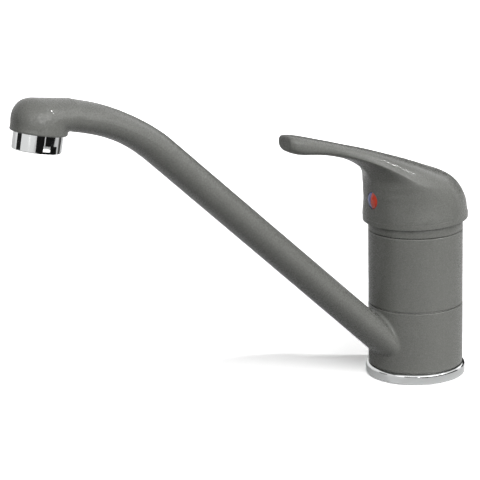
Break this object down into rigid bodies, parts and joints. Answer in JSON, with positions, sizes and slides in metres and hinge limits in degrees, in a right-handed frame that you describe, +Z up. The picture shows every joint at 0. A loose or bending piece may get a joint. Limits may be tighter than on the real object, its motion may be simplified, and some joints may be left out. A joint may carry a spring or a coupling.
{
  "type": "mixer tap",
  "caption": "Lever-operated kitchen mixer tap in a satin grey coating: round column, low swivelling spout with chrome aerator, lever cap over a ceramic disc cartridge, chrome base ring.",
  "frame": {"origin": "centre of the base, on the plane of the worktop", "axes": "+Z up along the column; the spout and the lever reach towards -Y; X = 0 is the plane of symmetry"},
  "size_m": [0.0564, 0.2598, 0.1767],
  "materials": {
    "coating": "satin warm grey coating with a fine speckle, on cast brass",
    "chrome": "polished chrome plating",
    "brass": "turned brass",
    "steel": "fine turned steel",
    "rubber": "matt black rubber",
    "white_plastic": "matt white slide-bearing plastic",
    "cartridge_plastic": "matt moulded plastic",
    "carrier_plastic": "matt moulded plastic",
    "ceramic": "lapped alumina ceramic",
    "indicator": "gloss plastic, one half blue and one half red",
    "insert_plastic": "matt moulded plastic"
  },
  "bodies": {
    "body": {"body_casting": "coating", "base_ring": "chrome", "base_gasket": "rubber", "slip_ring_lower": "white_plastic", "slip_ring_upper": "white_plastic", "spout_seal_lower": "rubber", "spout_seal_upper": "rubber", "dome_cover": "coating", "cartridge_nut": "brass", "cartridge_base": "cartridge_plastic", "port_seals": "rubber", "disc_seals": "rubber", "cartridge_housing": "cartridge_plastic", "fixed_disc": "ceramic"},
    "spout": {"spout": "coating", "aerator_housing": "chrome", "aerator_washer": "rubber", "aerator_insert": "insert_plastic"},
    "rotor": {"stem_carrier": "carrier_plastic", "stem_pin": "steel"},
    "shuttle": {"disc_driver": "carrier_plastic", "moving_disc": "ceramic"},
    "lever": {"stem": "steel", "lever_handle": "coating", "set_screw": "steel", "indicator_plug": "indicator"}
  },
  "joints": [
    {"name": "spout_swivel", "type": "hinge", "parent": "body", "child": "spout", "pos_m": [0, 0, 0.0228], "axis": [0, 0, 1], "continuous": true},
    {"name": "lever_turn", "type": "hinge", "parent": "body", "child": "rotor", "pos_m": [0, 0, 0.0739], "axis": [0, 0, 1], "range_deg": [-50, 50]},
    {"name": "lever_lift", "type": "hinge", "parent": "rotor", "child": "lever", "pos_m": [0, 0, 0.0739], "axis": [-1, 0, 0], "range_deg": [0, 25]},
    {"name": "disc_slide", "type": "slide", "parent": "rotor", "child": "shuttle", "axis": [0, -1, 0], "range_m": [0, 0.0039]}
  ],
  "couplings": [
    {"joint": "disc_slide", "follows": "lever_lift", "m_per_rad": 0.008928}
  ]
}
